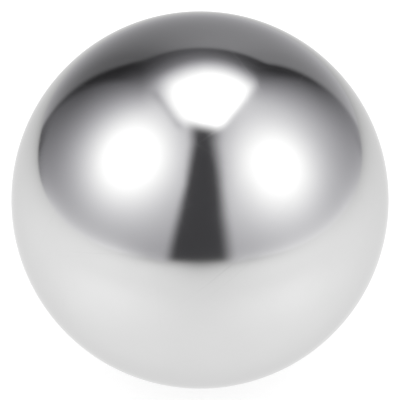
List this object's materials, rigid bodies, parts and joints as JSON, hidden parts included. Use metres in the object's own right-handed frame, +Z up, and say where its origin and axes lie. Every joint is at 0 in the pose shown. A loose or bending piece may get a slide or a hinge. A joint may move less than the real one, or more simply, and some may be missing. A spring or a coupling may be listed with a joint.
{
  "type": "steel ball",
  "caption": "Solid round steel ball with a bright lapped finish, for bearings, valves, ball transfers, fixtures and gauging.",
  "frame": {"origin": "centre of the ball", "axes": "+Z up; every axis through the centre is the same, so X and Y are arbitrary"},
  "size_m": [0.025, 0.025, 0.025],
  "materials": {
    "polished_steel": "polished"
  },
  "bodies": {
    "root": {"ball": "polished_steel"}
  },
  "joints": []
}
